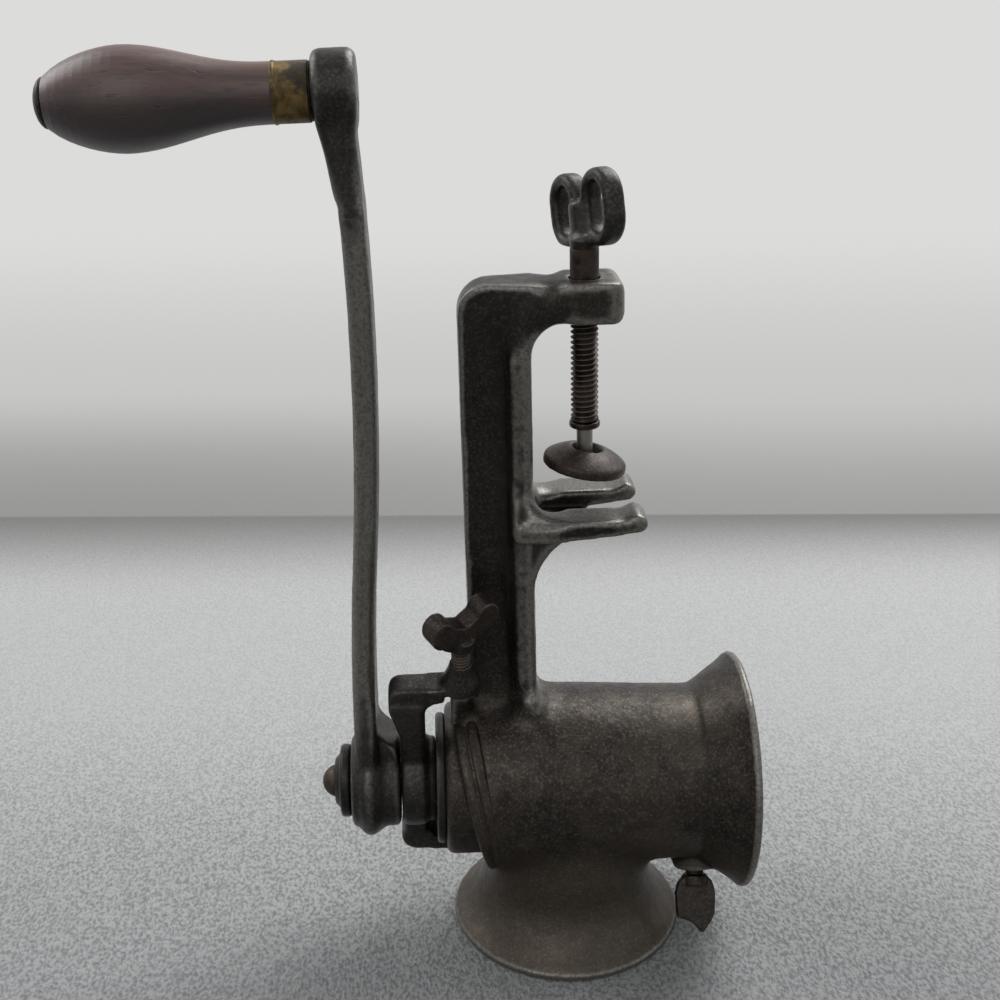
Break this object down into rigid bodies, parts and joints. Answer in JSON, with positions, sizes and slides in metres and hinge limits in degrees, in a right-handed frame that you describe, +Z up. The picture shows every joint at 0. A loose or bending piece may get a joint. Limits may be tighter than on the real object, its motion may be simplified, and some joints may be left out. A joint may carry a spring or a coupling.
{
  "type": "meat grinder",
  "caption": "Clamp-on kitchen meat grinder standing upside down on its hopper mouth, with a gently bent crank, wooden grip, bearing yoke, feed screw, cutter and C-shaped clamp frame.",
  "frame": {"origin": "centre of the hopper mouth, on the plane that the grinder stands on", "axes": "+X along the feed axis towards the flared outlet, +Z up as it stands, away from the hopper mouth"},
  "size_m": [0.2025, 0.0766, 0.2838],
  "materials": {
    "grey_iron": "dark grey cast iron, worn, with brown rust in its hollows",
    "worn_iron": "grey iron polished by use at its edges",
    "dark_iron": "dark rough iron",
    "rusty_iron": "rust-brown cast iron",
    "rusty_steel": "rust-brown threaded steel",
    "plain_steel": "dull turned steel",
    "varnished_wood": "dark red-brown varnished turned wood",
    "aged_brass": "dull aged brass"
  },
  "bodies": {
    "body": {"body_casting": "grey_iron", "end_cap": "grey_iron", "bearing_plate": "grey_iron", "bearing_yoke": "worn_iron", "bearing_bush": "plain_steel", "perforated_plate": "plain_steel"},
    "crank": {"feed_screw": "worn_iron", "thrust_washer": "plain_steel", "cutter_knife": "plain_steel", "crank_arm": "worn_iron", "crank_washer": "dark_iron", "crank_bolt": "rusty_steel", "grip_spindle": "plain_steel", "grip_washer": "dark_iron", "grip_end_cap": "dark_iron"},
    "grip": {"grip_wood": "varnished_wood", "grip_ferrule": "aged_brass"},
    "clamp_slide": {"pad_collar": "rusty_steel"},
    "clamp_screw": {"clamp_screw_stem": "plain_steel", "clamp_finger_loops": "dark_iron"},
    "pad": {"clamp_pad": "worn_iron"},
    "yoke_screw": {"yoke_screw_stem": "rusty_steel"},
    "yoke_wing": {"yoke_screw_wing": "rusty_iron"},
    "plate_screw": {"plate_screw_stem": "rusty_steel"},
    "plate_wing": {"plate_screw_wing": "rusty_iron"}
  },
  "joints": [
    {"name": "crank_spin", "type": "hinge", "parent": "body", "child": "crank", "pos_m": [0, 0, 0.054], "axis": [1, 0, 0], "continuous": true},
    {"name": "grip_spin", "type": "hinge", "parent": "crank", "child": "grip", "pos_m": [-0.0722, 0, 0.2714], "axis": [-0.9994, 0, -0.0349], "continuous": true},
    {"name": "clamp_travel", "type": "slide", "parent": "body", "child": "clamp_slide", "axis": [-0.0209, 0, 0.9998], "range_m": [-0.0065, 0.03]},
    {"name": "clamp_turn", "type": "hinge", "parent": "clamp_slide", "child": "clamp_screw", "pos_m": [0.00264, 0, 0.20009], "axis": [-0.0209, 0, 0.9998], "range_deg": [-1477, 6806]},
    {"name": "pad_tilt", "type": "hinge", "parent": "clamp_slide", "child": "pad", "pos_m": [0.00341, 0, 0.1635], "axis": [0, 1, 0], "range_deg": [-20, 0]},
    {"name": "yoke_screw_travel", "type": "slide", "parent": "body", "child": "yoke_screw", "axis": [0, -0.2924, 0.9563], "range_m": [0, 0.006]},
    {"name": "yoke_wing_turn", "type": "hinge", "parent": "yoke_screw", "child": "yoke_wing", "pos_m": [-0.035, -0.01462, 0.10182], "axis": [0, -0.2924, 0.9563], "range_deg": [0, 1703]},
    {"name": "plate_screw_travel", "type": "slide", "parent": "body", "child": "plate_screw", "axis": [0, -0.4067, -0.9135], "range_m": [0, 0.0035]},
    {"name": "plate_wing_turn", "type": "hinge", "parent": "plate_screw", "child": "plate_wing", "pos_m": [0.041, -0.01424, 0.02203], "axis": [0, -0.4067, -0.9135], "range_deg": [0, 995]}
  ],
  "couplings": [
    {"joint": "clamp_turn", "follows": "clamp_travel", "rad_per_m": 3957.9},
    {"joint": "yoke_wing_turn", "follows": "yoke_screw_travel", "rad_per_m": 4947.4},
    {"joint": "plate_wing_turn", "follows": "plate_screw_travel", "rad_per_m": 4947.4}
  ]
}
